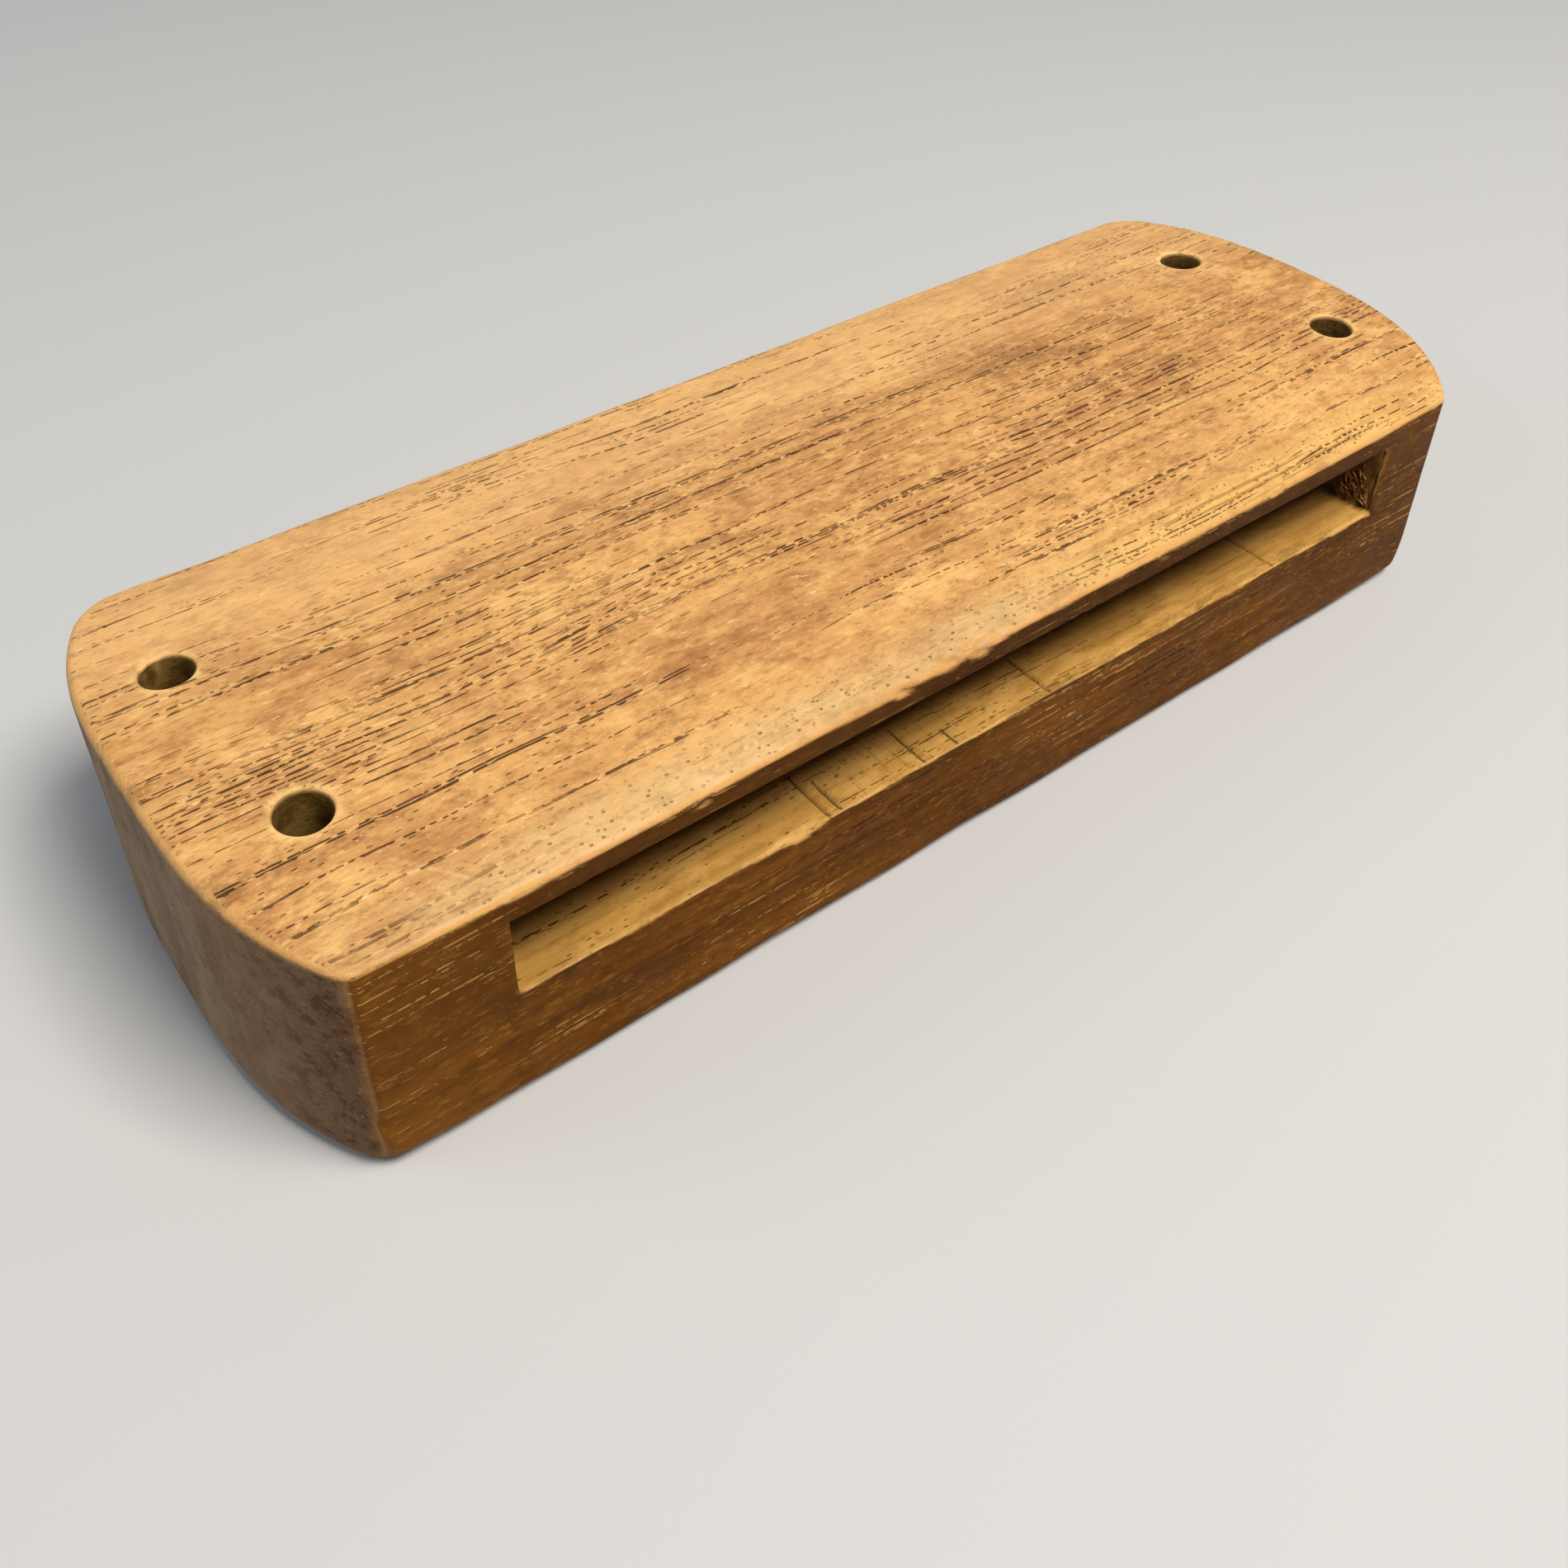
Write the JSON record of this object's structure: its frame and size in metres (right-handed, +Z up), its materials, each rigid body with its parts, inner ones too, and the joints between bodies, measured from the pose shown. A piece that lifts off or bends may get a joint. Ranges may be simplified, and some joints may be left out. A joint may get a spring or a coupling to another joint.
{
  "type": "wood block",
  "caption": "Slotted hardwood percussion block with bowed ends, a crowned top, one long deep sound slot in its front side and upright mounting holes near its ends.",
  "frame": {"origin": "middle of the underside", "axes": "+X along the grain and the length, +Y away from the slotted side, +Z up through the crowned top"},
  "size_m": [0.192, 0.07, 0.0344],
  "materials": {
    "wood": "worn oiled hardwood, satin, with open pores along the length"
  },
  "bodies": {
    "root": {"block": "wood"}
  },
  "joints": []
}
